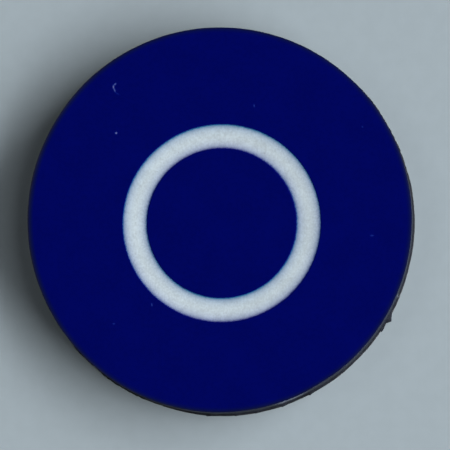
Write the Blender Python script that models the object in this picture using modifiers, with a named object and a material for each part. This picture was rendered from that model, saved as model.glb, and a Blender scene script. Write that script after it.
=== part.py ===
"""Dealer button: a round token punched from thick dark board, with a printed paper face and a white ring.

Metres, +Z up. The origin is the centre of the back, where the token rests on the table.
"""

import math

import bmesh
import bpy

MM = 0.001

# Driving sizes of the laminate, from the back up
BACK_PAPER_THICKNESS = 0.15 * MM
BACK_GLUE_THICKNESS = 0.05 * MM
BOARD_THICKNESS = 2.5 * MM
FACE_GLUE_THICKNESS = 0.05 * MM
FACE_PAPER_THICKNESS = 0.15 * MM
INK_THICKNESS = 0.02 * MM
PASTE_GAP = 0.005 * MM  # clearance between two layers that are pasted together

# Driving sizes of the punched wall
FACE_DIAMETER = 32.5 * MM
CUT_LAND = 1.6 * MM  # clean cut below the face, above the torn part of the wall
PUNCH_FLARE = 0.14 * MM  # how far the torn part leans out on each side
ROLL_WIDTH = 0.25 * MM  # rim that the punch pressed down, seen from above
ROLL_DROP = 0.06 * MM  # how far the board's shoulder is pressed down there

# Driving sizes of the printed ring, which is a little off the middle of the punched disc
RING_OUTER_DIAMETER = 16.6 * MM
RING_STROKE = 1.95 * MM
PRINT_SHIFT_X = 0.18 * MM
PRINT_SHIFT_Y = -0.30 * MM

# Torn stubs, where two small bridges held the disc in its sheet
STUB_HEIGHT = 0.6 * MM
STUB_RISE = 0.1 * MM  # from the board's underside
STUB_ROOT = 0.4 * MM  # how deep a stub is rooted in the wall
LARGE_STUB_ANGLE = math.radians(-30.5)
LARGE_STUB_LENGTH = 0.6 * MM
LARGE_STUB_REACH = 0.3 * MM
SMALL_STUB_ANGLE = math.radians(-34.4)
SMALL_STUB_LENGTH = 0.8 * MM
SMALL_STUB_REACH = 0.11 * MM

# Fineness of the round shapes
TURN_STEPS = 96
ROLL_STEPS = 3
AXIS_MERGE = 0.001 * MM
SHARP_ANGLE = math.radians(35)

# Sizes that follow from those above
FACE_RADIUS = FACE_DIAMETER / 2
BACK_RADIUS = FACE_RADIUS + PUNCH_FLARE
FLAT_RADIUS = FACE_RADIUS - ROLL_WIDTH
SHOULDER_RADIUS = (ROLL_WIDTH**2 + ROLL_DROP**2) / (2 * ROLL_DROP)
RING_INNER_DIAMETER = RING_OUTER_DIAMETER - 2 * RING_STROKE

# Heights of the layers above the table
BACK_GLUE_BASE = BACK_PAPER_THICKNESS + PASTE_GAP
BOARD_BASE = BACK_GLUE_BASE + BACK_GLUE_THICKNESS + PASTE_GAP
BOARD_TOP = BOARD_BASE + BOARD_THICKNESS

# Heights of the layers above the board's face
FACE_GLUE_LIFT = PASTE_GAP
FACE_PAPER_LIFT = FACE_GLUE_LIFT + FACE_GLUE_THICKNESS + PASTE_GAP
INK_LIFT = FACE_PAPER_LIFT + FACE_PAPER_THICKNESS + PASTE_GAP


def clear_scene():
    for leftover in list(bpy.data.objects):
        bpy.data.objects.remove(leftover, do_unlink=True)


def new_collection(name):
    collection = bpy.data.collections.new(name)
    bpy.context.scene.collection.children.link(collection)
    return collection


def new_material(name, colour, roughness):
    material = bpy.data.materials.new(name)
    material.use_nodes = True
    shader = material.node_tree.nodes["Principled BSDF"]
    shader.inputs["Base Color"].default_value = (*colour, 1)
    shader.inputs["Roughness"].default_value = roughness
    shader.inputs["Metallic"].default_value = 0
    return material


def new_object(name, mesh, collection):
    obj = bpy.data.objects.new(name, mesh)
    collection.objects.link(obj)
    return obj


def turned_solid(name, profile, collection):
    """A solid of revolution. Its (radius, height) points run from the axis, down the outside, to the axis."""
    mesh = bpy.data.meshes.new(name)
    points = [(radius, 0, height) for radius, height in profile]
    edges = [(index, index + 1) for index in range(len(points) - 1)]
    mesh.from_pydata(points, edges, [])
    solid = new_object(name, mesh, collection)
    turn = solid.modifiers.new("Turn", "SCREW")
    turn.axis = "Z"
    turn.angle = math.tau
    turn.steps = TURN_STEPS
    turn.render_steps = TURN_STEPS
    turn.use_merge_vertices = True
    turn.merge_threshold = AXIS_MERGE
    return solid


def round_sheet(name, radius, thickness, collection):
    """A flat round sheet that stands on its own origin."""
    mesh = bpy.data.meshes.new(name)
    shape = bmesh.new()
    bmesh.ops.create_cone(
        shape, cap_ends=True, segments=TURN_STEPS, radius1=radius, radius2=radius, depth=thickness
    )
    bmesh.ops.translate(shape, vec=(0, 0, thickness / 2), verts=shape.verts)
    shape.to_mesh(mesh)
    shape.free()
    return new_object(name, mesh, collection)


def rolled_edge(lift):
    """Section of the surface that lies this far above the board's face, from the end of its flat to the cut.

    The surfaces of all layers turn down about one centre, the centre of the board's pressed shoulder.
    """
    radius = SHOULDER_RADIUS + lift
    last_angle = math.asin(ROLL_WIDTH / radius)
    angles = [last_angle * step / ROLL_STEPS for step in range(ROLL_STEPS + 1)]
    return [
        (FLAT_RADIUS + radius * math.sin(angle), lift - radius * (1 - math.cos(angle)))
        for angle in angles
    ]


def rolled_sheet(name, lift, thickness, collection):
    """A round sheet pasted over the board's face, whose rim follows the pressed shoulder."""
    upper = rolled_edge(lift + thickness)
    lower = rolled_edge(lift)
    section = [(0, lift + thickness), *upper, *reversed(lower), (0, lift)]
    sheet = turned_solid(name, section, collection)
    sheet.location.z = BOARD_TOP
    return sheet


def combine(solid, tool, operation):
    """Join a tool to a solid, or cut it out. The tool itself stays as a hidden guide."""
    step = solid.modifiers.new(f"{operation.title()} {tool.name}", "BOOLEAN")
    step.operation = operation
    step.solver = "EXACT"
    step.object = tool
    tool.hide_render = True
    tool.display_type = "WIRE"


def settle(solid, material, owner):
    """Make the finished shape the object's own mesh, smooth but for real edges, and hang it on its owner."""
    bpy.context.view_layer.update()
    evaluated = solid.evaluated_get(bpy.context.evaluated_depsgraph_get())
    finished = bpy.data.meshes.new_from_object(evaluated)
    finished.name = solid.name
    solid.modifiers.clear()
    solid.data = finished
    finished.materials.clear()
    finished.materials.append(material)
    finished.shade_smooth()
    finished.set_sharp_from_angle(angle=SHARP_ANGLE)
    solid.parent = owner


def torn_stub(name, angle, length, reach, tools):
    """A block turned so that one corner stands out of the wall, with a slow ramp behind it."""
    lean = math.atan2(reach, length)
    ramp = math.hypot(length, reach)
    depth = reach + STUB_ROOT
    mesh = bpy.data.meshes.new(name)
    shape = bmesh.new()
    bmesh.ops.create_cube(shape, size=1)
    bmesh.ops.scale(shape, vec=(ramp, depth, STUB_HEIGHT), verts=shape.verts)
    bmesh.ops.translate(shape, vec=(ramp / 2, depth / 2, STUB_HEIGHT / 2), verts=shape.verts)
    shape.to_mesh(mesh)
    shape.free()
    stub = new_object(name, mesh, tools)
    tip = BACK_RADIUS + reach
    stub.location = (tip * math.cos(angle), tip * math.sin(angle), BOARD_BASE + STUB_RISE)
    stub.rotation_euler.z = angle + math.pi / 2 + lean
    return stub


def make_back_paper(parts):
    return round_sheet("back_paper", BACK_RADIUS, BACK_PAPER_THICKNESS, parts)


def make_back_glue(parts):
    glue = round_sheet("back_glue", BACK_RADIUS, BACK_GLUE_THICKNESS, parts)
    glue.location.z = BACK_GLUE_BASE
    return glue


def make_core_board(parts, tools):
    shoulder = [(radius, BOARD_THICKNESS + height) for radius, height in rolled_edge(0)]
    land_end = (FACE_RADIUS, shoulder[-1][1] - CUT_LAND)
    section = [(0, BOARD_THICKNESS), *shoulder, land_end, (BACK_RADIUS, 0), (0, 0)]
    board = turned_solid("core_board", section, parts)
    board.location.z = BOARD_BASE
    stubs = (
        torn_stub("large_stub", LARGE_STUB_ANGLE, LARGE_STUB_LENGTH, LARGE_STUB_REACH, tools),
        torn_stub("small_stub", SMALL_STUB_ANGLE, SMALL_STUB_LENGTH, SMALL_STUB_REACH, tools),
    )
    for stub in stubs:
        combine(board, stub, "UNION")
    return board


def make_blue_field(parts, tools):
    field = rolled_sheet("blue_field", INK_LIFT, INK_THICKNESS, parts)
    hole = round_sheet("ring_hole", RING_OUTER_DIAMETER / 2, 3 * INK_THICKNESS, tools)
    hole.location = (PRINT_SHIFT_X, PRINT_SHIFT_Y, BOARD_TOP + INK_LIFT - INK_THICKNESS)
    combine(field, hole, "DIFFERENCE")
    return field


def make_blue_centre(parts):
    centre = round_sheet("blue_centre", RING_INNER_DIAMETER / 2, INK_THICKNESS, parts)
    centre.location = (PRINT_SHIFT_X, PRINT_SHIFT_Y, BOARD_TOP + INK_LIFT)
    return centre


def make_button():
    clear_scene()
    parts = new_collection("dealer_button")
    tools = new_collection("cutters")
    owner = new_object("dealer_button_origin", None, parts)

    liner = new_material("dark liner paper", (0.022, 0.024, 0.027), 0.85)
    paste = new_material("dried paste", (0.12, 0.12, 0.115), 0.6)
    board = new_material("black core board", (0.048, 0.053, 0.061), 0.9)
    paper = new_material("white printing paper", (0.48, 0.565, 0.63), 0.8)
    ink = new_material("navy ink", (0.0006, 0.0021, 0.1), 0.4)

    settle(make_back_paper(parts), liner, owner)
    settle(make_back_glue(parts), paste, owner)
    settle(make_core_board(parts, tools), board, owner)
    settle(rolled_sheet("face_glue", FACE_GLUE_LIFT, FACE_GLUE_THICKNESS, parts), paste, owner)
    settle(rolled_sheet("face_paper", FACE_PAPER_LIFT, FACE_PAPER_THICKNESS, parts), paper, owner)
    settle(make_blue_field(parts, tools), ink, owner)
    settle(make_blue_centre(parts), ink, owner)


make_button()
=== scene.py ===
import math

import bpy
import numpy as np
from mathutils import Matrix, Vector


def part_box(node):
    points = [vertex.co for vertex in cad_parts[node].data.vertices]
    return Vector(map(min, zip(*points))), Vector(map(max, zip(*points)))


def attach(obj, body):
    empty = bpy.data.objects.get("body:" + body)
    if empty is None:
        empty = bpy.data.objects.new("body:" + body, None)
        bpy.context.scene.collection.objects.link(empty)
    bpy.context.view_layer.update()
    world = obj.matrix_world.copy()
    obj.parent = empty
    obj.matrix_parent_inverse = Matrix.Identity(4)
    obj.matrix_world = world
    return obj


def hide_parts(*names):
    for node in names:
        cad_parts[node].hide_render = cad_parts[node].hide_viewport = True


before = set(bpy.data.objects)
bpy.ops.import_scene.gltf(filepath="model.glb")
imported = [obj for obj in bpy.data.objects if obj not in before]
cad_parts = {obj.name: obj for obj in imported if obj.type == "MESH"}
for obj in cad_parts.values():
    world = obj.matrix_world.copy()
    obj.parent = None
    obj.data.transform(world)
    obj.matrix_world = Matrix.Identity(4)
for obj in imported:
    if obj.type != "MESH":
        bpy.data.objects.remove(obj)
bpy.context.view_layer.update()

mm = 0.001
around = 1440  # steps round the token, four to a degree
angle = np.arange(around) * math.tau / around
sharpAngle = math.radians(50)

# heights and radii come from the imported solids
boardLow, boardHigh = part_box("core_board")
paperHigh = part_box("face_paper")[1]
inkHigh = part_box("blue_field")[1]
centreLow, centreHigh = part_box("blue_centre")
linerLow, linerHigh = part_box("back_paper")
backPasteLow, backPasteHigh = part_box("back_glue")
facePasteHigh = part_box("face_glue")[1]
faceRadius = paperHigh.x
backRadius = linerHigh.x
boardTop = boardHigh.z
printCentre = (centreLow + centreHigh) / 2
ringInner = (centreHigh.x - centreLow.x) / 2
print("sizes read from the frame, face radius", round(faceRadius / mm, 3), "mm")


# shared shapes

# a ripple is written as seed, slowest wave, fastest wave and fade, after its share of the whole
rim = {
    "rollWidth": 0.25 * mm,  # rim pressed down by the punch
    "rollDrop": 0.06 * mm,
    "rollRows": 7,
    "outOfRound": 0.0044,  # share by which the disc is narrower one way, as punched board comes out
    "narrowTurn": 20,
    "nibble": 0.12,  # share of the roll that the cut takes away at its roughest
    "nibbleWaves": [(0.55, (3, 9, 60, 0.6)), (0.45, (4, 120, 420, 0.2))],
}
# places where the cut line is flatter: turn and spread in degrees, share of the roll that is gone
rimFlats = [
    {"turn": -60, "spread": 10, "share": 0.14},
    {"turn": 150, "spread": 16, "share": 0.14},
]
roundness = 1 - rim["outOfRound"] * np.cos(angle - math.radians(rim["narrowTurn"])) ** 2
flatRadius = faceRadius - rim["rollWidth"]
shoulderRadius = (rim["rollWidth"] ** 2 + rim["rollDrop"] ** 2) / (2 * rim["rollDrop"])


def ripple(seed, slowest, fastest, fade):
    # sum of sine waves round the token, each wave weaker than a slower one, brought to 0..1
    rng = np.random.default_rng(seed)
    waves = np.arange(slowest, fastest + 1)[:, None]
    phase = rng.uniform(0, math.tau, (len(waves), 1))
    total = (np.sin(waves * angle + phase) / waves**fade).sum(axis=0)
    return (total - total.min()) / np.ptp(total)


def ripples(parts):
    return sum(share * ripple(*waves) for share, waves in parts)


def bump(turn, spread):
    # 1 at one direction, easing to 0 at the spread on both sides of it, in degrees
    away = np.degrees((angle - math.radians(turn) + math.pi) % math.tau - math.pi)
    return np.cos(np.clip(away / spread, -1, 1) * math.pi / 2) ** 2


def bumps(parts, amount):
    return sum(part[amount] * bump(part["turn"], part["spread"]) for part in parts)


def ease(share):
    return share**2 * (3 - 2 * share)


def patches(seed, cellsAround, cellsUp, up):
    # random heights on a lattice wrapped round the wall, eased between lattice points; up runs 0..1
    rng = np.random.default_rng(seed)
    lattice = rng.random((cellsUp + 2, cellsAround))
    column = angle / math.tau * cellsAround
    left = np.floor(column).astype(int)
    right = (left + 1) % cellsAround
    row = up * cellsUp
    under = np.floor(row).astype(int)
    across = ease(column - left)
    upwards = ease(row - under)
    low = lattice[under, left] * (1 - across) + lattice[under, right] * across
    high = lattice[under + 1, left] * (1 - across) + lattice[under + 1, right] * across
    return low * (1 - upwards) + high * upwards


def rolledEdge(lift, keep):
    # arc about the shoulder's centre, with R its radius at this lift:
    # radius = flat + R sin(turn), height = top + lift - R (1 - cos(turn))
    big = shoulderRadius + lift
    whole = math.asin(rim["rollWidth"] / big)
    turn = np.linspace(0, 1, rim["rollRows"] + 1)[:, None] * whole * keep
    return flatRadius + big * np.sin(turn), boardTop + lift - big * (1 - np.cos(turn))


def level(radius, height):
    # one row of the section at a steady height; the radius is one number or one for each step
    return np.full((1, around), radius), np.full((1, around), height)


def spin(name, rows, closed, shift=None):
    # section carried round the axis: x, y = shift + radius (cos(angle), sin(angle)), z = height
    # an open section gets a pole at each end, a closed one joins its last row to its first
    radius = np.concatenate([r for r, z in rows]) * roundness
    height = np.concatenate([z for r, z in rows])
    count = len(radius)
    offset = np.zeros((count, 2)) if shift is None else shift
    x = offset[:, :1] + radius * np.cos(angle)
    y = offset[:, 1:] + radius * np.sin(angle)
    points = np.stack([x, y, height], axis=-1).reshape(-1, 3)
    first = np.arange(count if closed else count - 1)[:, None] * around
    second = (first + around) % (count * around)
    step = np.arange(around)
    nextStep = (step + 1) % around
    corners = [first + step, second + step, second + nextStep, first + nextStep]
    faces = np.stack(corners, axis=-1).reshape(-1, 4).tolist()
    if not closed:
        top, bottom = len(points), len(points) + 1
        last = (count - 1) * around
        faces += np.stack([np.full(around, top), step, nextStep], axis=-1).tolist()
        faces += np.stack([np.full(around, bottom), last + nextStep, last + step], axis=-1).tolist()
        ends = [[*offset[0], height[0].mean()], [*offset[-1], height[-1].mean()]]
        points = np.concatenate([points, ends])
    mesh = bpy.data.meshes.new(name)
    mesh.from_pydata(points.tolist(), [], faces)
    mesh.validate()
    mesh.shade_smooth()
    mesh.set_sharp_from_angle(angle=sharpAngle)
    piece = bpy.data.objects.new(name, mesh)
    bpy.context.scene.collection.objects.link(piece)
    return piece


def markRows(piece, name, values):
    # one number for each point of the grid, kept on the mesh for the material
    # a pole takes the mean of the row beside it
    flat = np.asarray(values, dtype=np.float32).ravel()
    spare = len(piece.data.vertices) - len(flat)
    if spare:
        flat = np.concatenate([flat, [values[0].mean(), values[-1].mean()]]).astype(np.float32)
    layer = piece.data.attributes.new(name, "FLOAT", "POINT")
    layer.data.foreach_set("value", flat)


def settle(piece, node, material):
    piece.data.materials.append(material)
    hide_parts(node)
    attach(piece, "root")
    print("made", piece.name, "with", len(piece.data.polygons), "faces")


# the cut line round the face: share of the rolled rim that is kept at each step
rimKeep = 1 - rim["nibble"] * ripples(rim["nibbleWaves"]) - bumps(rimFlats, "share")


# material helpers

oneNoise = (0.3, 0.7)  # the usual span of a noise
twoNoises = (0.6, 1.4)  # and of two added
# soft edges: where a shape begins and where it is whole, as shares of its size
speckSoft = (1.0, 0.4)
hairSoft = (0.5, 0.2)
spotSoft = (1.2, 0.3)
hairFade = 0.08  # span of noise over which a hair ends


def startMaterial(name):
    material = bpy.data.materials.new(name)
    material.use_nodes = True
    tree = material.node_tree
    return material, tree, tree.nodes["Principled BSDF"]


def addNode(tree, kind, inputs=None, **settings):
    made = tree.nodes.new(kind)
    for key, value in settings.items():
        setattr(made, key, value)
    for key, value in (inputs or {}).items():
        if isinstance(value, bpy.types.NodeSocket):
            tree.links.new(value, made.inputs[key])
        else:
            made.inputs[key].default_value = value
    return made


def attribute(tree, name):
    return addNode(tree, "ShaderNodeAttribute", attribute_name=name).outputs["Fac"]


def maths(tree, operation, first, second=0.0, third=0.0):
    made = addNode(tree, "ShaderNodeMath", {0: first, 1: second, 2: third}, operation=operation)
    return made.outputs[0]


def vectors(tree, operation, first, second=(0, 0, 0)):
    made = addNode(tree, "ShaderNodeVectorMath", {0: first, 1: second}, operation=operation)
    single = operation in ("LENGTH", "DISTANCE", "DOT_PRODUCT")
    return made.outputs["Value" if single else "Vector"]


def ramp(tree, value, low, high, toLow=0.0, toHigh=1.0):
    ends = {"Value": value, "From Min": low, "From Max": high, "To Min": toLow, "To Max": toHigh}
    return addNode(tree, "ShaderNodeMapRange", ends, interpolation_type="SMOOTHSTEP").outputs["Result"]


def blend(tree, share, first, second, how="MIX"):
    ends = {0: share, 6: first, 7: second}
    return addNode(tree, "ShaderNodeMix", ends, data_type="RGBA", blend_type=how).outputs[2]


def toned(tree, colour, tone):
    # a colour made lighter or darker by one number
    grey = addNode(tree, "ShaderNodeCombineColor", {0: tone, 1: tone, 2: tone}).outputs[0]
    return blend(tree, 1.0, colour, grey, "MULTIPLY")


def placeOf(tree, stretch=(1, 1, 1)):
    place = addNode(tree, "ShaderNodeTexCoord").outputs["Object"]
    return addNode(tree, "ShaderNodeMapping", {"Vector": place, "Scale": stretch}).outputs["Vector"]


def grain(tree, place, size, detail=2.0, rough=0.5):
    # noise whose lumps are about this size
    ends = {"Vector": place, "Scale": 1 / size, "Detail": detail, "Roughness": rough}
    return addNode(tree, "ShaderNodeTexNoise", ends).outputs["Fac"]


def specks(tree, place, spacing, size, share):
    # round specks, one in each chosen cell of the given spacing
    cells = addNode(tree, "ShaderNodeTexVoronoi", {"Vector": place, "Scale": 1 / spacing})
    near = ramp(tree, cells.outputs["Distance"], *[share * size / spacing for share in speckSoft])
    pick = addNode(tree, "ShaderNodeSeparateColor", {"Color": cells.outputs["Color"]}).outputs["Red"]
    return maths(tree, "MULTIPLY", near, maths(tree, "LESS_THAN", pick, share))


def hairs(tree, place, spacing, wide, least):
    # stray fibres: the borders of wavy cells, kept only where a second noise is above its least value
    ends = {"Vector": place, "Scale": 1 / spacing, "Detail": 2}
    waves = addNode(tree, "ShaderNodeTexNoise", ends).outputs["Color"]
    wavy = vectors(tree, "ADD", place, vectors(tree, "MULTIPLY", waves, [spacing] * 3))
    ends = {"Vector": wavy, "Scale": 1 / spacing}
    cells = addNode(tree, "ShaderNodeTexVoronoi", ends, feature="DISTANCE_TO_EDGE")
    line = ramp(tree, cells.outputs["Distance"], *[share * wide / spacing for share in hairSoft])
    kept = ramp(tree, grain(tree, wavy, spacing / 2, 1), least, least + hairFade)
    return maths(tree, "MULTIPLY", line, kept)


def awayFrom(tree, place, spot, turn, sizes):
    # the place is moved, turned and stretched until an ellipsoid of these sizes, in mm, is a unit ball
    moved = vectors(tree, "SUBTRACT", place, spot)
    turning = {"Vector": moved, "Angle": -math.radians(turn)}
    turned = addNode(tree, "ShaderNodeVectorRotate", turning, rotation_type="Z_AXIS").outputs[0]
    unit = vectors(tree, "MULTIPLY", turned, [2 / size / mm for size in sizes])
    return vectors(tree, "LENGTH", unit)


def softSpot(tree, away, most):
    # the given share at the middle of an ellipsoid, fading to nothing a little outside it
    return maths(tree, "MULTIPLY", ramp(tree, away, *spotSoft), most)


def roughen(tree, shader, height, distance, strength):
    ends = {"Height": height, "Distance": distance, "Strength": strength}
    dents = addNode(tree, "ShaderNodeBump", ends)
    tree.links.new(dents.outputs["Normal"], shader.inputs["Normal"])


def rgba(colour):
    return (*colour, 1.0)


# printed face

printing = {
    "navy": (0.0004, 0.0020, 0.1070),
    "paper": (0.556, 0.645, 0.692),
    "rimInkAndShade": (0.004, 0.0065, 0.032),  # rubbed ink on the rolled rim, darker as painted shade of the roll
    "ringStroke": 1.95 * mm,
    # for red, green and blue: the plates are a hair out of register, the paper begins to show a little
    # outside the ring's edge, and it gets to full white over this length, all in mm
    "shift": ((0.006, -0.016), (0.0, 0.010), (-0.015, 0.006)),
    "spread": (0.015, 0.039, 0.057),
    "reach": (0.285, 0.270, 0.206),
    "innerTrim": -0.006 * mm,  # how far the ring's inner edge is moved outwards
    "wear": (1.09, 1.0, 0.8),  # how soon red, green and blue come through worn ink
    "wander": 0.08 * mm,
    "wanderSize": 0.3 * mm,
    "fuzz": 0.16 * mm,
    "fuzzSize": 0.07 * mm,
}
ringOuter = ringInner + printing["ringStroke"]

inkLook = {
    "gloss": 0.66,
    "glossSway": 0.06,
    "glossSize": 0.25 * mm,
    "wornDull": 0.3,  # how much rougher worn ink is
    "shine": 0.003,
    "cloudSizes": (0.35 * mm, 3 * mm),
    "cloudTone": (0.92, 1.08),
    "pinholeSpacing": 2.2 * mm,
    "pinholeSize": 0.05 * mm,
    "pinholeShare": 0.25,
    "pinholeGone": 0.25,
    "toothSize": 0.10 * mm,  # the paper's tooth, felt through the ink
    "toothDepth": 0.004 * mm,
    "toothStrength": 0.25,
}

# worn marks on the face: place from the face's centre, width, length, turn in degrees, share of ink gone
faceMarks = [
    {"x": -8.80, "y": 11.46, "wide": 0.21, "long": 0.42, "turn": -44, "gone": 0.62},
    {"x": -8.93, "y": 11.23, "wide": 0.20, "long": 0.52, "turn": 4, "gone": 0.70},
    {"x": -8.84, "y": 10.98, "wide": 0.21, "long": 0.56, "turn": 21, "gone": 0.61},
    {"x": -8.59, "y": 10.67, "wide": 0.16, "long": 0.44, "turn": 62, "gone": 0.26},
    {"x": -8.70, "y": 7.34, "wide": 0.28, "long": 0.28, "turn": 0, "gone": 0.72},
    {"x": 2.92, "y": 9.58, "wide": 0.18, "long": 0.38, "turn": 0, "gone": 0.42},
    {"x": 12.03, "y": 7.75, "wide": 0.16, "long": 0.22, "turn": 20, "gone": 0.36},
    {"x": -5.68, "y": -7.15, "wide": 0.18, "long": 0.40, "turn": 8, "gone": 0.46},
    {"x": -8.88, "y": -8.73, "wide": 0.28, "long": 0.22, "turn": 0, "gone": 0.36},
    {"x": 12.82, "y": -1.42, "wide": 0.42, "long": 0.20, "turn": 0, "gone": 0.38},
]


def markMask(tree, place, mark):
    spot = (mark["x"] * mm, mark["y"] * mm, 0)
    sizes = (mark["wide"], mark["long"], mark["wide"])
    return softSpot(tree, awayFrom(tree, place, spot, mark["turn"], sizes), mark["gone"])


def wornInk(tree, flat):
    # share of the ink that is gone: pinholes, the marks, and the bare stretches of the rim
    look = inkLook
    pinholes = specks(tree, flat, look["pinholeSpacing"], look["pinholeSize"], look["pinholeShare"])
    worn = maths(tree, "MULTIPLY", pinholes, look["pinholeGone"])
    for mark in faceMarks:
        worn = maths(tree, "MAXIMUM", worn, markMask(tree, flat, mark))
    return maths(tree, "MAXIMUM", worn, attribute(tree, "rimBare"))


def makeInk(name):
    # deep ink film: slight clouds, a few pinholes, the marks of use, and painted shade on the rolled rim
    material, tree, shader = startMaterial(name)
    place = placeOf(tree)
    flat = placeOf(tree, (1, 1, 0))
    rub = attribute(tree, "rimRubAndShade")
    mottle = maths(tree, "ADD", *[grain(tree, flat, size) for size in inkLook["cloudSizes"]])
    # the rim takes the darker rim ink: its rub, and painted shade of the rolled rim
    colour = blend(tree, rub, rgba(printing["navy"]), rgba(printing["rimInkAndShade"]))
    colour = toned(tree, colour, ramp(tree, mottle, *twoNoises, *inkLook["cloudTone"]))
    worn = wornInk(tree, flat)
    # a thinner film lets more paper through, each channel by its own power: (paper / ink) ^ share gone
    inks = zip(printing["paper"], printing["navy"], printing["wear"])
    ratios = [(paper / ink) ** wear for paper, ink, wear in inks]
    thinned = [maths(tree, "POWER", ratio, worn) for ratio in ratios]
    thinned = addNode(tree, "ShaderNodeCombineXYZ", dict(enumerate(thinned))).outputs[0]
    colour = vectors(tree, "MULTIPLY", colour, thinned)
    tree.links.new(colour, shader.inputs["Base Color"])
    gloss, sway = inkLook["gloss"], inkLook["glossSway"]
    sheen = grain(tree, place, inkLook["glossSize"], 3)
    sheen = ramp(tree, sheen, *oneNoise, gloss - sway, gloss + sway)
    dull = maths(tree, "MULTIPLY_ADD", maths(tree, "MAXIMUM", worn, rub), inkLook["wornDull"], sheen)
    tree.links.new(dull, shader.inputs["Roughness"])
    shader.inputs["Specular IOR Level"].default_value = inkLook["shine"]
    tooth = grain(tree, place, inkLook["toothSize"], 3)
    roughen(tree, shader, tooth, inkLook["toothDepth"], inkLook["toothStrength"])
    return material


# pale scuffs on the wall: turn in degrees, height and sizes in mm, and how pale each is
wallScuffs = [
    {"turn": -23.2, "height": 1.30, "long": 0.36, "tall": 1.60, "pale": 0.52},
    {"turn": -68.5, "height": 2.25, "long": 3.00, "tall": 1.70, "pale": 0.78},
    {"turn": -71.0, "height": 2.15, "long": 0.90, "tall": 2.00, "pale": 1.0},
]
scuffEdge = {"streaks": 2.2, "none": 3.7, "whole": 2.7, "deep": 3}  # deep is in mm, through the wall


def scuffMask(tree, place, uneven, scuff):
    # an ellipsoid on the wall, whose distance from its middle has the knife's streaks added to it
    turn = math.radians(scuff["turn"])
    spot = (faceRadius * math.cos(turn), faceRadius * math.sin(turn), scuff["height"] * mm)
    sizes = (scuffEdge["deep"], scuff["long"], scuff["tall"])
    away = awayFrom(tree, place, spot, scuff["turn"], sizes)
    broken = maths(tree, "MULTIPLY_ADD", uneven, scuffEdge["streaks"], away)
    return maths(tree, "MULTIPLY", ramp(tree, broken, scuffEdge["none"], scuffEdge["whole"]), scuff["pale"])


def scuffed(tree, place, uneven, colour, pale):
    for scuff in wallScuffs:
        colour = blend(tree, scuffMask(tree, place, uneven, scuff), colour, rgba(pale))
    return colour


paperLook = {
    "uneven": 0.06,  # a little whiter at the left than at the right
    "unevenReach": 9 * mm,
    "cloudSize": 0.18 * mm,
    "slowCloudSize": 0.8 * mm,
    "slowCloud": (0.6, 0.2),  # share, and lift that keeps its middle at a half
    "fibreSize": 0.06 * mm,
    "fibreStretch": (1, 0.2, 1),
    "fibreShare": 0.5,
    "toneSpan": (0.85, 1.65),  # of clouds and fibres added
    "tone": (0.85, 1.13),
    "speck": (0.20, 0.22, 0.24),
    "dotSpacing": 0.9 * mm,
    "dotSize": 0.06 * mm,
    "dotShare": 0.22,
    "dotDark": 0.35,
    "grime": (0.054, 0.062, 0.082),  # of the cut edge
    "grimeTone": (0.55, 1.5),
    "streakSize": 0.07 * mm,
    "streakStretch": (1, 1, 0.12),
    "bare": (0.33, 0.38, 0.51),  # clean paper where the edge is scuffed
    "scuffStreaks": (1.0, 0.7),  # share of the streaks in a scuff, and lift to the board's level
    "rough": (0.67, 0.85),
    "shine": 0.15,
    "reliefDepth": 0.006 * mm,
    "reliefStrength": 0.3,
}
# grey specks on the ring: place from the face's centre and size in mm, share of the paper's white lost
ringSpecks = [
    {"x": 3.80, "y": 5.56, "size": 0.20, "lost": 0.34},
    {"x": 3.13, "y": 6.65, "size": 0.30, "lost": 0.18},
    {"x": 7.59, "y": -2.94, "size": 0.20, "lost": 0.20},
    {"x": -4.44, "y": -5.63, "size": 0.26, "lost": 0.17},
    {"x": -6.63, "y": 2.86, "size": 0.26, "lost": 0.16},
    {"x": -7.05, "y": -2.86, "size": 0.22, "lost": 0.17},
    {"x": 5.15, "y": -5.21, "size": 0.20, "lost": 0.16},
]


def paperShare(tree, flat, edge, channel):
    # 0 at the ink's edge, nearing 1 inside the ring: 1 - exp(-distance / reach)
    shift = printing["shift"][channel]
    centre = (printCentre.x + shift[0] * mm, printCentre.y + shift[1] * mm, 0)
    reach = vectors(tree, "DISTANCE", flat, centre)
    spread = printing["spread"][channel] * mm
    fromOuter = maths(tree, "SUBTRACT", ringOuter + spread, reach)
    fromInner = maths(tree, "SUBTRACT", reach, ringInner + printing["innerTrim"] - spread)
    inside = maths(tree, "ADD", maths(tree, "MINIMUM", fromOuter, fromInner), edge)
    steps = maths(tree, "DIVIDE", maths(tree, "MAXIMUM", inside, 0.0), -printing["reach"][channel] * mm)
    return maths(tree, "SUBTRACT", 1.0, maths(tree, "EXPONENT", steps))


def whiteSheet(tree, place, flat, cloud, fibre):
    # the paper's white: clouds and fibres, lighter towards the left, with fine dots and the ring's specks
    look = paperLook
    tone = maths(tree, "MULTIPLY_ADD", fibre, look["fibreShare"], cloud)
    tone = ramp(tree, tone, *look["toneSpan"], *look["tone"])
    across = addNode(tree, "ShaderNodeSeparateXYZ", {0: flat}).outputs["X"]
    reach, uneven = look["unevenReach"], look["uneven"]
    slope = ramp(tree, across, -reach, reach, 1 + uneven, 1 - uneven)
    colour = toned(tree, rgba(printing["paper"]), maths(tree, "MULTIPLY", tone, slope))
    dots = specks(tree, place, look["dotSpacing"], look["dotSize"], look["dotShare"])
    dots = maths(tree, "MULTIPLY", dots, look["dotDark"])
    for speck in ringSpecks:
        spot = (speck["x"] * mm, speck["y"] * mm, 0)
        away = awayFrom(tree, flat, spot, 0, [speck["size"]] * 3)
        dots = maths(tree, "MAXIMUM", dots, softSpot(tree, away, speck["lost"]))
    return blend(tree, dots, colour, rgba(look["speck"]))


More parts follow.
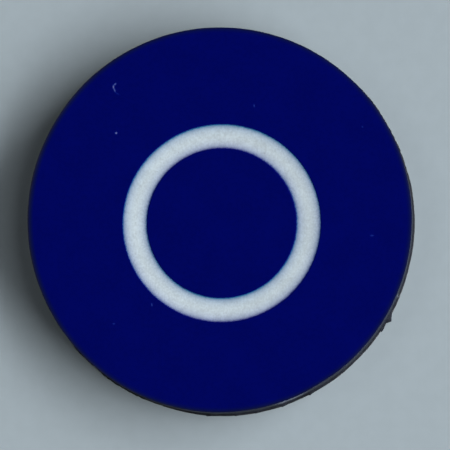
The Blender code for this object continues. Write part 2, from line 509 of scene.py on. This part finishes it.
def printedRing(tree, flat, white):
    # navy outside the ring and white inside it, each channel with its own soft and fuzzy edge
    slow = maths(tree, "SUBTRACT", grain(tree, flat, printing["wanderSize"]), 0.5)
    fast = maths(tree, "SUBTRACT", grain(tree, flat, printing["fuzzSize"], 3, 0.6), 0.5)
    edge = maths(tree, "MULTIPLY", slow, printing["wander"])
    edge = maths(tree, "MULTIPLY_ADD", fast, printing["fuzz"], edge)
    shares = [paperShare(tree, flat, edge, channel) for channel in range(3)]
    shares = addNode(tree, "ShaderNodeCombineXYZ", dict(enumerate(shares))).outputs[0]
    ends = {1: shares, 4: printing["navy"], 5: white}
    mix = addNode(tree, "ShaderNodeMix", ends, data_type="VECTOR", factor_mode="NON_UNIFORM")
    return mix.outputs[1]


def cutPaper(tree, place):
    # the knife leaves grey streaks down the sheet's cut edge
    look = paperLook
    streak = grain(tree, placeOf(tree, look["streakStretch"]), look["streakSize"], 3, 0.65)
    grime = toned(tree, rgba(look["grime"]), ramp(tree, streak, *oneNoise, *look["grimeTone"]))
    uneven = maths(tree, "MULTIPLY_ADD", streak, *look["scuffStreaks"])
    return scuffed(tree, place, uneven, grime, look["bare"])


def makePaper(name):
    # white paper with soft clouds and fibres; the ink creeps a little way into the ring
    material, tree, shader = startMaterial(name)
    place = placeOf(tree)
    flat = placeOf(tree, (1, 1, 0))
    look = paperLook
    slowCloud = maths(tree, "MULTIPLY_ADD", grain(tree, place, look["slowCloudSize"]), *look["slowCloud"])
    cloud = maths(tree, "ADD", grain(tree, place, look["cloudSize"], 3, 0.6), slowCloud)
    fibre = grain(tree, placeOf(tree, look["fibreStretch"]), look["fibreSize"], 2)
    printed = printedRing(tree, flat, whiteSheet(tree, place, flat, cloud, fibre))
    colour = blend(tree, attribute(tree, "cutEdge"), printed, cutPaper(tree, place))
    tree.links.new(colour, shader.inputs["Base Color"])
    tree.links.new(ramp(tree, cloud, *twoNoises, *look["rough"]), shader.inputs["Roughness"])
    shader.inputs["Specular IOR Level"].default_value = look["shine"]
    roughen(tree, shader, maths(tree, "ADD", cloud, fibre), look["reliefDepth"], look["reliefStrength"])
    return material


# board and back

boardLook = {
    "cut": (0.0205, 0.0242, 0.0370),
    # torn: torn board, darker also as painted shade of the wall's lower part
    "torn": (0.0105, 0.0120, 0.0172),
    "fibre": (0.06, 0.063, 0.068),
    "scuff": (0.20, 0.22, 0.29),
    "shine": 0.07,
    "rough": (0.7, 0.95),  # of the cut and of the torn part
    "dragSize": 0.05 * mm,
    "dragStretch": (1, 1, 0.07),
    "clumpSize": 0.14 * mm,
    "streakShare": 0.9,
    "streakSpan": (0.5, 1.3),
    "streakTone": (0.55, 1.5),
    "scuffDrag": 0.6,  # share of the drag lines that breaks up a scuff
    "plySize": 0.11 * mm,
    "plyStretch": (0.05, 0.05, 1),
    "plyTone": (0.8, 1.2),
    "hairs": [(0.5 * mm, 0.022 * mm, 0.53), (0.3 * mm, 0.016 * mm, 0.48)],  # spacing, width, least noise
    "hairClear": (0.22, 0.45),  # on the cut and on the torn part
    "reliefDepth": 0.03 * mm,
    "reliefStrength": 0.6,
}


def makeBoard(name):
    # cut part streaked by the knife, torn part darker (torn board and painted shade low on the wall) and
    # clumped, stray fibres on both
    material, tree, shader = startMaterial(name)
    look = boardLook
    place = placeOf(tree)
    torn = attribute(tree, "torn")
    drag = grain(tree, placeOf(tree, look["dragStretch"]), look["dragSize"], 3, 0.6)
    clumps = grain(tree, place, look["clumpSize"], 4, 0.65)
    both = maths(tree, "ADD", drag, clumps)
    streak = maths(tree, "MULTIPLY", both, look["streakShare"])
    plies = grain(tree, placeOf(tree, look["plyStretch"]), look["plySize"])
    plies = ramp(tree, plies, *oneNoise, *look["plyTone"])
    tone = ramp(tree, streak, *look["streakSpan"], *look["streakTone"])
    tone = maths(tree, "MULTIPLY", tone, plies)
    # painted shade: darker in the torn hollows, paler on the tufts between them
    tone = maths(tree, "MULTIPLY", tone, attribute(tree, "tuftsAndHollowShade"))
    # the torn share darkens the wall downwards: torn board and painted shade
    colour = toned(tree, blend(tree, torn, rgba(look["cut"]), rgba(look["torn"])), tone)
    stray = maths(tree, "MAXIMUM", *[hairs(tree, place, *sizes) for sizes in look["hairs"]])
    stray = maths(tree, "MULTIPLY", stray, ramp(tree, torn, 0, 1, *look["hairClear"]))
    colour = blend(tree, stray, colour, rgba(look["fibre"]))
    uneven = maths(tree, "MULTIPLY_ADD", drag, look["scuffDrag"], streak)
    colour = scuffed(tree, place, uneven, colour, look["scuff"])
    tree.links.new(colour, shader.inputs["Base Color"])
    tree.links.new(ramp(tree, torn, 0, 1, *look["rough"]), shader.inputs["Roughness"])
    shader.inputs["Specular IOR Level"].default_value = look["shine"]
    roughen(tree, shader, both, look["reliefDepth"], look["reliefStrength"])
    return material


linerLook = {
    "dark": (0.017, 0.0185, 0.021),
    "pale": (0.034, 0.037, 0.041),
    "scuff": (0.085, 0.089, 0.094),
    "cloudSize": 0.5 * mm,
    "fibreSize": 0.05 * mm,
    "fibreStretch": (0.18, 1, 1),
    "wearSize": 0.06 * mm,
    "wearCloud": 0.6,  # share of the clouds in the wear
    "wearSpan": (0.72, 1.0),
    "wearMost": 0.75,
    "hairs": (0.9 * mm, 0.04 * mm, 0.5),  # spacing, width, least noise
    "hairStretch": (0.6, 1, 1),
    "hairClear": 0.6,
    "rough": (0.72, 0.9),
    "reliefDepth": 0.012 * mm,
    "reliefStrength": 0.5,
}


def makeLiner(name):
    # dark paper with long fibres, rubbed paler at its rim
    material, tree, shader = startMaterial(name)
    look = linerLook
    place = placeOf(tree)
    cloud = grain(tree, place, look["cloudSize"], 4, 0.6)
    fibre = grain(tree, placeOf(tree, look["fibreStretch"]), look["fibreSize"], 3)
    colour = blend(tree, ramp(tree, cloud, *oneNoise), rgba(look["dark"]), rgba(look["pale"]))
    wear = grain(tree, place, look["wearSize"], 3, 0.7)
    wear = maths(tree, "MULTIPLY_ADD", cloud, look["wearCloud"], wear)
    broken = ramp(tree, wear, *look["wearSpan"], 0.0, look["wearMost"])
    rubbed = maths(tree, "MULTIPLY", attribute(tree, "rubbed"), broken)
    colour = blend(tree, rubbed, colour, rgba(look["scuff"]))
    stray = hairs(tree, placeOf(tree, look["hairStretch"]), *look["hairs"])
    stray = maths(tree, "MULTIPLY", stray, look["hairClear"])
    colour = blend(tree, stray, colour, rgba(look["scuff"]))
    tree.links.new(colour, shader.inputs["Base Color"])
    tree.links.new(ramp(tree, cloud, *oneNoise, *look["rough"]), shader.inputs["Roughness"])
    roughen(tree, shader, maths(tree, "ADD", cloud, fibre), look["reliefDepth"], look["reliefStrength"])
    return material


pasteLook = {
    "dark": (0.014, 0.0145, 0.015),
    "pale": (0.042, 0.043, 0.043),
    "cloudSize": 0.15 * mm,
    "rough": (0.4, 0.65),
    "reliefDepth": 0.006 * mm,
    "reliefStrength": 0.4,
}


def makePaste(name):
    # thin greyish film, cloudy and a little glossy
    material, tree, shader = startMaterial(name)
    look = pasteLook
    cloud = grain(tree, placeOf(tree), look["cloudSize"], 3, 0.6)
    colour = blend(tree, ramp(tree, cloud, *oneNoise), rgba(look["dark"]), rgba(look["pale"]))
    tree.links.new(colour, shader.inputs["Base Color"])
    tree.links.new(ramp(tree, cloud, *oneNoise, *look["rough"]), shader.inputs["Roughness"])
    roughen(tree, shader, cloud, look["reliefDepth"], look["reliefStrength"])
    return material


# the ragged line round the back: how far it wanders inwards, and where its lip is left or torn away
backEdge = {
    "ragged": 0.11 * mm,
    "waves": [(0.6, (11, 5, 40, 0.5)), (0.4, (12, 60, 300, 0.3))],
}
backLips = [
    {"turn": -76, "spread": 58, "torn": -0.8},
    {"turn": -130, "spread": 45, "torn": 1.4},
    {"turn": -66, "spread": 16, "torn": 0.5},
    {"turn": 0, "spread": 18, "torn": -0.7},
    {"turn": 20, "spread": 35, "torn": 0.4},
]
lip = 1 + bumps(backLips, "torn")
backCut = backRadius - backEdge["ragged"] * (1 - ripples(backEdge["waves"])) * lip

# stubs and teeth where the disc was torn out of its sheet: turn of the tip in degrees, then sizes in mm;
# flat is 1 for a straight ramp and less for a plateau
tornStubs = [
    {"turn": -30.5, "long": 0.60, "drop": 0.42, "reach": 0.27, "tall": 0.80, "flat": 1.0},
    {"turn": -34.4, "long": 0.75, "drop": 0.14, "reach": 0.07, "tall": 0.70, "flat": 0.55},
    {"turn": -71.8, "long": 0.60, "drop": 0.12, "reach": 0.05, "tall": 0.50, "flat": 0.6},
    {"turn": -94.3, "long": 0.90, "drop": 0.12, "reach": 0.04, "tall": 0.45, "flat": 1.0},
    {"turn": -79.9, "long": 0.60, "drop": 0.12, "reach": 0.035, "tall": 0.45, "flat": 1.0},
    {"turn": -85.8, "long": 0.70, "drop": 0.12, "reach": 0.035, "tall": 0.45, "flat": 1.0},
    {"turn": -63.0, "long": 0.55, "drop": 0.12, "reach": 0.05, "tall": 0.40, "flat": 1.0},
]


def stubShare(stub):
    # saw tooth: from its tip it ramps down slowly one way and drops sooner the other way
    away = (angle - math.radians(stub["turn"]) + math.pi) % math.tau - math.pi
    along = away * backRadius / mm
    rampSide = np.clip(1 - along / stub["long"], 0, 1) ** stub["flat"] * (along >= 0)
    dropSide = np.clip(1 + along / stub["drop"], 0, 1) * (along < 0)
    return rampSide + dropSide


# board

boardShape = {
    "land": 1.72 * mm,  # clean cut under the face
    "landWander": 0.30 * mm,
    "landWaves": [(0.5, (21, 4, 90, 0.7)), (0.3, (26, 100, 400, 0.2)), (0.2, (29, 300, 700, 0))],
    "landRows": 18,
    "tornRows": 30,
    "dragDepth": 0.014 * mm,
    "dragRise": 6,  # the drag lines are at full depth after a sixth of the land
    "tornDepth": 0.10 * mm,
    "tornRise": 8,
    "tornPower": 1.5,  # more than 1 makes most hollows shallow
    "flare": 0.7,  # power by which the torn part leans out, soonest at its top
    "undercut": 0.05 * mm,  # groove where the cut ends and the tear begins
    "undercutLeast": 0.3,
    "undercutWaves": (28, 30, 240, 0.4),
    "undercutAt": 0.09,  # place and width, as shares of the torn part
    "undercutWide": 0.07,
    "backRow": 0.3 * mm,  # last row of the wall's back, in from its edge
    "stubWear": 0.45,  # share of the hollows that shows on a stub
    "stubNotch": (0.75, 0.5),  # least height of a stub's ragged top, and how much it varies
    "stubTop": 1.25,
    "stubRound": 0.6,
    # lattices: seed, cells round the wall and cells up it
    "drag": (22, 720, 2),
    "ridges": (23, 480, 8),
    "pits": (24, 160, 4),
    "grit": (27, 720, 14),
    "hollowShares": (0.4, 0.35, 0.25),  # of ridges, pits and grit
    "notches": (25, 720, 6),
}
latticeEnd = 0.999  # keeps the last row inside its lattice
# shares of torn board (with painted shade low on the wall) and of tufts and hollows (painted shade in the
# hollows) that the material reads
boardMarks = {
    "landEnd": 0.12,  # torn share at the foot of the land
    "tornStart": 0.4,
    "tornRise": 5,
    "tuftLeast": 0.25,
    "tuftMore": 2.2,
    "tuftPower": 1.5,
}


def tornHollows(fall):
    # hollows of three sizes, 0..1; the middle ones are creased into ridges of fibre
    up = fall * latticeEnd
    ridges = np.abs(2 * patches(*boardShape["ridges"], up) - 1)
    pits = patches(*boardShape["pits"], up)
    grit = patches(*boardShape["grit"], up)
    ridgeShare, pitShare, gritShare = boardShape["hollowShares"]
    return ridgeShare * ridges + pitShare * pits + gritShare * grit


def withStubs(tornR, tornZ, fall, depth):
    # each stub pulls the wall out to its reach, most at the back and ragged at its top
    notchLeast, notchMore = boardShape["stubNotch"]
    notch = notchLeast + notchMore * patches(*boardShape["notches"], fall * latticeEnd)
    for stub in tornStubs:
        above = (tornZ - boardLow.z) / (stub["tall"] * mm)
        share = np.clip(boardShape["stubTop"] - above * notch, 0, 1) ** boardShape["stubRound"]
        share = stubShare(stub) * share
        reach = backRadius + stub["reach"] * mm - boardShape["stubWear"] * depth * above.clip(0, 1)
        tornR = tornR + share * np.maximum(reach - tornR, 0)
    return tornR


def tornGroove(fall):
    # bell-shaped groove under the land, deeper at some places: depth exp(-((fall - place) / width) ^ 2)
    least = boardShape["undercutLeast"]
    deeper = least + (1 - least) * ripple(*boardShape["undercutWaves"])
    along = (fall - boardShape["undercutAt"]) / boardShape["undercutWide"]
    return boardShape["undercut"] * deeper * np.exp(-(along**2))


def markBoard(piece, before, down, fall, hollow):
    # the torn share, which carries painted shade low on the wall, rises down the wall; the hollows get
    # painted shade and the tufts between them are paler
    marks = boardMarks
    cutShare = np.concatenate([np.zeros(before), marks["landEnd"] * down.ravel() ** 3])
    tornShare = np.clip(marks["tornStart"] + marks["tornRise"] * fall.ravel(), 0, 1)
    share = np.concatenate([cutShare, tornShare, np.ones(2)])
    markRows(piece, "torn", share[:, None] * np.ones(around))
    tuftsAndHollowShade = np.ones((len(share), around))
    tuftsAndHollowShade[len(cutShare):-2] = marks["tuftLeast"] + marks["tuftMore"] * (1 - hollow) ** marks["tuftPower"]
    markRows(piece, "tuftsAndHollowShade", tuftsAndHollowShade)


def makeCore():
    # wall = cut line at the top to ragged line at the bottom, less drag lines and torn hollows, plus stubs
    shape = boardShape
    shoulderR, shoulderZ = rolledEdge(0, rimKeep)
    cutR, cutZ = shoulderR[-1], shoulderZ[-1]
    ragged = ripples(shape["landWaves"]) - 0.5
    landEnd = cutZ - shape["land"] + shape["landWander"] * ragged
    down = np.linspace(0, 1, shape["landRows"] + 1)[1:, None]
    fall = np.linspace(0, 1, shape["tornRows"] + 1)[1:, None]
    landZ = cutZ + (landEnd - cutZ) * down
    tornZ = landEnd + (boardLow.z - landEnd) * fall
    drag = shape["dragDepth"] * patches(*shape["drag"], down * latticeEnd)
    landR = cutR - drag * np.minimum(1, shape["dragRise"] * down)
    hollow = tornHollows(fall)
    depth = shape["tornDepth"] * hollow ** shape["tornPower"] * np.minimum(1, shape["tornRise"] * fall)
    lean = cutR + (backCut - cutR) * fall ** shape["flare"]
    tornR = lean - depth - tornGroove(fall) - drag[-1] * (1 - fall)
    tornR = withStubs(tornR, tornZ, fall, depth)
    rows = [level(0.5 * flatRadius, boardTop), (shoulderR, shoulderZ), (landR, landZ), (tornR, tornZ)]
    rows += [(tornR[-1:] - shape["backRow"], tornZ[-1:]), level(0.5 * flatRadius, boardLow.z)]
    piece = spin("boardCore", rows, closed=False)
    markBoard(piece, 1 + len(shoulderR), down, fall, hollow)
    settle(piece, "core_board", makeBoard("black board"))


# sheets and paste

layers = {
    "pasteLift": 0.005 * mm,  # above the board's face
    "pasteKeep": 0.97,  # the paste ends a little short of the papers' edge
    "pasteRows": 1,  # rows down the cut edge
    "paperThick": 0.15 * mm,
    "paperRows": 4,
    "cutCorner": 0.6,  # share of the cut's grime on the face's edge
    "backPasteInset": 0.03 * mm,
    "backStub": 0.6,  # share of a stub's length and of its reach that the back's layers follow
    "backStubReach": 0.5,
    "backSoft": 0.25,  # share of a back layer's thickness that its edge is rounded by
}


def makeFaceSheet(name, node, slot, material, lift, thick, keep, edgeRows):
    # upper and lower face follow the pressed shoulder at their own lift; the cut joins them
    upR, upZ = rolledEdge(lift + thick, keep)
    lowR, lowZ = rolledEdge(lift, keep)
    share = np.linspace(0, 1, edgeRows + 2)[1:-1, None]
    edgeR = upR[-1] + (lowR[-1] - upR[-1]) * share
    edgeZ = upZ[-1] + (lowZ[-1] - upZ[-1]) * share
    top = boardTop + lift + thick
    rows = [level(0.4 * flatRadius, top), level(0.8 * flatRadius, top), (upR, upZ), (edgeR, edgeZ)]
    rows += [(lowR[::-1], lowZ[::-1]), level(0.5 * flatRadius, boardTop + lift)]
    piece = spin(name, rows, closed=False)
    atCut = np.concatenate([np.zeros(2 + len(upR)), np.ones(edgeRows + len(lowR) + 1)])
    atCut[1 + len(upR)] = layers["cutCorner"]
    markRows(piece, "cutEdge", atCut[:, None] * np.ones(around))
    settle(piece, node, material)


def makeBackSheet(name, node, low, high, inset, material):
    # flat round sheet with the ragged line for its edge, a little rounded above and below
    soft = layers["backSoft"] * (high - low)
    out = backCut - inset
    for stub in tornStubs:
        reach = backRadius + layers["backStubReach"] * stub["reach"] * mm
        out = out + layers["backStub"] * stubShare(stub) * (reach - out)
    # distance in from the ragged line, height and share of rub, from the upper side to the back
    section = [
        (soft + 0.4 * mm, high, 0),
        (soft, high, 0.5),
        (0, high - soft, 1),
        (0, low + soft, 1),
        (soft, low, 1),
        (soft + 0.15 * mm, low, 0.55),
        (soft + 0.6 * mm, low, 0.1),
    ]
    rows = [level(0.5 * flatRadius, high)]
    rows += [level(out - inwards, height) for inwards, height, rub in section]
    rows += [level(0.7 * flatRadius, low), level(0.3 * flatRadius, low)]
    piece = spin(name, rows, closed=False)
    rubbed = np.array([0, *[rub for inwards, height, rub in section], 0, 0])
    markRows(piece, "rubbed", rubbed[:, None] * np.ones(around))
    settle(piece, node, material)


# ink

inkShape = {
    "fieldGap": 0.075 * mm,  # from the ring's outer edge to the film of the field
    "centreGap": 0.06 * mm,  # from the ring's inner edge to the film of the centre
    "taper": 0.04 * mm,  # the film thins to nothing over this length
    "taperEnd": 0.055 * mm,
    "fieldRows": 12,
    "centreRows": 8,
    "rubFrom": (0.25 * mm, 0.15 * mm),  # where the rub begins, inside the rolled rim
    "fray": 0.05,  # share of the roll by which the film is frayed back
    "frayWaves": (31, 200, 500, 0.1),
}
# the rub of the rim, with its painted shade, begins just inside the roll and is whole at the cut; the left
# side, turned away from the key lamp, gets more painted shade
rimRubAndShade = {
    "before": 0.08,
    "start": 0.35,
    "left": {"turn": 170, "spread": 80},
    "leftBefore": 0.25,
    "leftStart": 0.35,
    "bareFrom": 0.3,  # share of rub at which paper begins to show
    "bare": 0.06,
    "bareWaves": (32, 8, 200, 0.3),
}
# stretches of the rim where most paper shows: turn and spread in degrees, share of ink gone
rimBares = [
    {"turn": 170, "spread": 80, "gone": 0.20},
    {"turn": 25, "spread": 40, "gone": 0.10},
    {"turn": -125, "spread": 38, "gone": 0.11},
]


def makeInkField():
    # ring of ink: its hole is round the print's centre, its rim round the disc's, eased between the two
    inkLift = centreLow.z - boardTop
    thick = inkHigh.z - centreLow.z
    keep = rimKeep * (1 - inkShape["fray"] * ripple(*inkShape["frayWaves"]))
    upR, upZ = rolledEdge(inkLift + thick, keep)
    lowR, lowZ = rolledEdge(inkLift, keep)
    hole = ringOuter + inkShape["fieldGap"]
    rubFar, rubNear = inkShape["rubFrom"]
    flatR = np.linspace(hole + inkShape["taperEnd"], flatRadius - rubFar, inkShape["fieldRows"])
    flatR = np.concatenate([[hole + inkShape["taper"]], flatR, [flatRadius - rubNear]])
    rows = [level(hole, centreLow.z)] + [level(r, inkHigh.z) for r in flatR]
    rows += [(upR, upZ), (lowR[::-1], lowZ[::-1])]
    rows += [level(r, centreLow.z) for r in (0.8 * flatRadius, hole + 0.4 * mm)]
    radii = np.concatenate([r for r, z in rows]).mean(axis=1)
    toHole = np.clip((flatRadius - radii) / (flatRadius - hole), 0, 1)[:, None]
    shift = toHole * np.array([[printCentre.x, printCentre.y]])
    piece = spin("inkField", rows, closed=True, shift=shift)
    before = np.zeros(len(flatR))
    start = np.linspace(rimRubAndShade["start"], 1, len(upR))
    rub = np.concatenate([before, [rimRubAndShade["before"]], start, np.ones(len(lowR) + 2)])
    # painted shade: more of the darker rim ink on the left side, away from the key lamp
    leftStart = np.linspace(rimRubAndShade["leftStart"], 0, len(upR))
    leftShade = np.concatenate([before, [rimRubAndShade["leftBefore"]], leftStart, np.zeros(len(lowR) + 2)])
    markRows(piece, "rimRubAndShade", rub[:, None] + leftShade[:, None] * bump(**rimRubAndShade["left"]))
    thin = bumps(rimBares, "gone") + rimRubAndShade["bare"] * ripple(*rimRubAndShade["bareWaves"])
    bareShare = np.clip(rub - rimRubAndShade["bareFrom"], 0, 1) / (1 - rimRubAndShade["bareFrom"])
    markRows(piece, "rimBare", bareShare[:, None] * thin)
    settle(piece, "blue_field", navyInk)


def makeInkCentre():
    # thin disc of ink about the print's centre, tapered to nothing at its edge
    edge = ringInner - inkShape["centreGap"]
    inner = np.linspace(0.15, 1, inkShape["centreRows"]) * (edge - inkShape["taperEnd"])
    rows = [level(r, centreHigh.z) for r in (*inner, edge - inkShape["taper"])]
    rows += [level(edge, centreLow.z), level(0.5 * edge, centreLow.z)]
    shift = np.tile([printCentre.x, printCentre.y], (len(rows), 1))
    piece = spin("inkCentre", rows, closed=False, shift=shift)
    settle(piece, "blue_centre", navyInk)


paste = makePaste("dried paste")
liner = makeLiner("dark liner paper")
whitePaper = makePaper("white paper")
navyInk = makeInk("navy ink")
backInset = layers["backPasteInset"]
makeBackSheet("backLiner", "back_paper", linerLow.z, linerHigh.z, 0.0, liner)
makeBackSheet("backPaste", "back_glue", backPasteLow.z, backPasteHigh.z, backInset, paste)
makeCore()
pasteLift = layers["pasteLift"]
pasteCut = {
    "lift": pasteLift,
    "thick": facePasteHigh.z - boardTop - pasteLift,
    "keep": rimKeep * layers["pasteKeep"],
    "edgeRows": layers["pasteRows"],
}
paperThick = layers["paperThick"]
paperCut = {
    "lift": paperHigh.z - boardTop - paperThick,
    "thick": paperThick,
    "keep": rimKeep,
    "edgeRows": layers["paperRows"],
}
makeFaceSheet("facePaste", "face_glue", "dried_paste", paste, **pasteCut)
makeFaceSheet("facePaper", "face_paper", "white_paper", whitePaper, **paperCut)
makeInkField()
makeInkCentre()


# floor, light and camera

stage = {
    "floor": (0.374, 0.443, 0.486),
    "floorSide": 6.0,
    "floorDrop": 0.01 * mm,  # a hair under the token
    "floorRough": 0.9,
    "floorShine": 0.1,
    "floorCloud": 1.2 * mm,
    "floorTone": (0.985, 1.015),
    "backdrop": (0.374, 0.443, 0.486),  # behind the token when it is seen from below
    "sky": (0.25, 0.25, 0.24),
    "skyTop": (0.003, 0.003, 0.0035),
    "skyBand": (0.02, 0.42),  # heights between which the sky darkens, of a unit ray
    "skyStrength": 1.0,
}


def makeFloor():
    # one flat square
    half = stage["floorSide"] / 2
    low = -stage["floorDrop"]
    corners = [(-half, -half, low), (half, -half, low), (half, half, low), (-half, half, low)]
    mesh = bpy.data.meshes.new("floor")
    mesh.from_pydata(corners, [], [(0, 1, 2, 3)])
    floor = bpy.data.objects.new("floor", mesh)
    bpy.context.scene.collection.objects.link(floor)
    material, tree, shader = startMaterial("pale floor")
    cloud = grain(tree, placeOf(tree), stage["floorCloud"], 3)
    colour = toned(tree, rgba(stage["floor"]), ramp(tree, cloud, *oneNoise, *stage["floorTone"]))
    tree.links.new(colour, shader.inputs["Base Color"])
    shader.inputs["Roughness"].default_value = stage["floorRough"]
    shader.inputs["Specular IOR Level"].default_value = stage["floorShine"]
    # seen from below the floor is clear, and the lamp under it shines through
    path = addNode(tree, "ShaderNodeLightPath")
    under = addNode(tree, "ShaderNodeNewGeometry").outputs["Backfacing"]
    clear = maths(tree, "MAXIMUM", under, path.outputs["Is Shadow Ray"])
    glass = addNode(tree, "ShaderNodeBsdfTransparent").outputs[0]
    both = addNode(tree, "ShaderNodeMixShader", {0: clear, 1: shader.outputs[0], 2: glass}).outputs[0]
    tree.links.new(both, tree.nodes["Material Output"].inputs["Surface"])
    mesh.materials.append(material)


def makeSky():
    # pale at the horizon, dark overhead, so that the printed face stays deep
    world = bpy.data.worlds.new("room")
    bpy.context.scene.world = world
    world.use_nodes = True
    tree = world.node_tree
    up = addNode(tree, "ShaderNodeTexCoord").outputs["Generated"]
    height = addNode(tree, "ShaderNodeSeparateXYZ", {0: up}).outputs["Z"]
    share = ramp(tree, maths(tree, "ABSOLUTE", height), *stage["skyBand"])
    colour = blend(tree, share, rgba(stage["sky"]), rgba(stage["skyTop"]))
    # through the clear floor a pale backdrop is seen, which gives no light
    path = addNode(tree, "ShaderNodeLightPath").outputs
    seen = maths(tree, "MAXIMUM", path["Is Camera Ray"], path["Is Glossy Ray"])
    seen = maths(tree, "MAXIMUM", seen, path["Is Transmission Ray"])
    through = maths(tree, "GREATER_THAN", path["Transparent Depth"], 0.5)
    colour = blend(tree, maths(tree, "MULTIPLY", seen, through), colour, rgba(stage["backdrop"]))
    tree.links.new(colour, tree.nodes["Background"].inputs["Color"])
    tree.nodes["Background"].inputs["Strength"].default_value = stage["skyStrength"]


# turn and rise in degrees, the rest in metres and watts
lamps = [
    {"name": "keyLamp", "turn": -1, "rise": 29, "away": 2.0, "wide": 3.4, "tall": 0.8, "power": 92},
    {"name": "highLamp", "turn": 0, "rise": 61, "away": 2.0, "wide": 1.2, "tall": 0.8, "power": 4.4},
    {"name": "softLamp", "turn": 172, "rise": 53, "away": 2.0, "wide": 2.0, "tall": 0.7, "power": 4.2},
]
underPower = 3.1  # of the lamp that shows the back from below


def aim(obj, place, target):
    # the object looks from its place to the target, with +Y of the scene upwards
    back = (place - target).normalized()
    side = Vector((0, 1, 0)).cross(back).normalized()
    turn = Matrix((side, back.cross(side), back)).transposed()
    obj.matrix_world = Matrix.Translation(place) @ turn.to_4x4()


def outwards(turn, rise):
    t, e = math.radians(turn), math.radians(rise)
    return Vector((math.cos(t) * math.cos(e), math.sin(t) * math.cos(e), math.sin(e)))


def holdLight(name, kind, power):
    light = bpy.data.lights.new(name, kind)
    light.energy = power
    holder = bpy.data.objects.new(name, light)
    bpy.context.scene.collection.objects.link(holder)
    return light, holder


def makeLamps():
    for lamp in lamps:
        light, holder = holdLight(lamp["name"], "AREA", lamp["power"])
        light.shape = "RECTANGLE"
        light.size = lamp["tall"]
        light.size_y = lamp["wide"]
        aim(holder, lamp["away"] * outwards(lamp["turn"], lamp["rise"]), Vector((0, 0, 0)))
    light, holder = holdLight("underLamp", "SUN", underPower)
    holder.rotation_euler = (math.pi, 0, 0)  # straight up, so the wall takes none of it


shot = {
    "lens": 700,
    "sensor": 36,
    "lean": 6.0,  # degrees off straight down
    "leanTurn": -54,  # towards the lower right
    "framePx": 450,
    "faceRadiusPx": 193.60,
    "faceCentrePx": (219.42, 219.47),
    "clipNear": 0.1,  # share of the camera's distance
    "clipFar": 20,
}


def makeCamera():
    # the face's centre and radius come out at the given pixels of the frame
    data = bpy.data.cameras.new("camera")
    data.lens = shot["lens"]
    data.sensor_width = shot["sensor"]
    camera = bpy.data.objects.new("camera", data)
    bpy.context.scene.collection.objects.link(camera)
    perPx = faceRadius / shot["faceRadiusPx"]
    half = shot["framePx"] / 2
    centreX, centreY = shot["faceCentrePx"]
    target = Vector(((half - centreX) * perPx, (centreY - half) * perPx, inkHigh.z))
    away = shot["framePx"] * perPx * shot["lens"] / shot["sensor"]
    aim(camera, target + away * outwards(shot["leanTurn"], 90 - shot["lean"]), target)
    data.clip_start = shot["clipNear"] * away
    data.clip_end = shot["clipFar"]
    bpy.context.scene.camera = camera


makeFloor()
makeSky()
makeLamps()
makeCamera()
bpy.context.scene.view_settings.view_transform = "Standard"
print("floor, light and camera are set")
